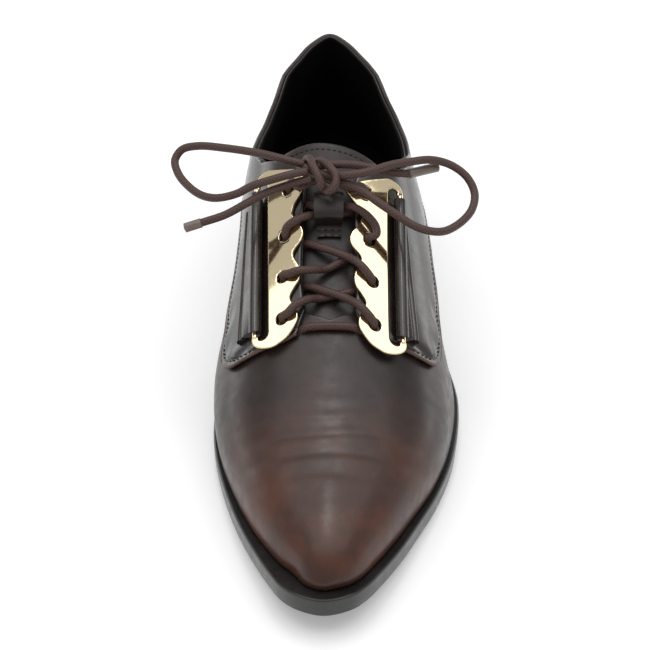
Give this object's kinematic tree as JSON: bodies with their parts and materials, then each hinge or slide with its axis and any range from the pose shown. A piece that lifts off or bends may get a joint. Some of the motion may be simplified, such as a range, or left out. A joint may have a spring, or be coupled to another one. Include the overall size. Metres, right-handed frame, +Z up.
{
  "type": "lace-up shoe",
  "caption": "Low pointed leather shoe for the left foot, open-laced through scalloped metal plates held by leather loops, with a low heel.",
  "frame": {"origin": "on the floor, under the middle of the heel", "axes": "+Z up, -Y towards the toe, +X towards the outer side of the foot"},
  "size_m": [0.1136, 0.2745, 0.0951],
  "materials": {
    "sole": "black, edge polished",
    "lining": "black, matte",
    "vamp_leather": "dark brown burnished, glossy, redder towards the toe",
    "brown_leather": "near-black brown burnished, glossy",
    "gold_metal": "polished gold tone",
    "lace": "waxed braided cord, brown",
    "lace_tip": "grey-brown, slightly see-through"
  },
  "bodies": {
    "root": {"outsole": "sole", "heel": "sole", "heel_top_lift": "sole", "insole": "lining", "upper": "vamp_leather", "tongue": "brown_leather", "lace_keeper": "brown_leather", "quarter_medial": "brown_leather", "plate_medial": "gold_metal", "strap_medial": "brown_leather", "quarter_lateral": "brown_leather", "plate_lateral": "gold_metal", "strap_lateral": "brown_leather", "lace_crossing_top": "lace", "lace_crossing_middle": "lace", "lace_crossing_low": "lace", "lace_bar": "lace", "lace_tie": "lace", "lace_knot": "lace", "lace_loop_medial": "lace", "lace_loop_lateral": "lace", "lace_end_medial": "lace", "lace_end_lateral": "lace", "aglet_medial": "lace_tip", "aglet_lateral": "lace_tip"}
  },
  "joints": []
}
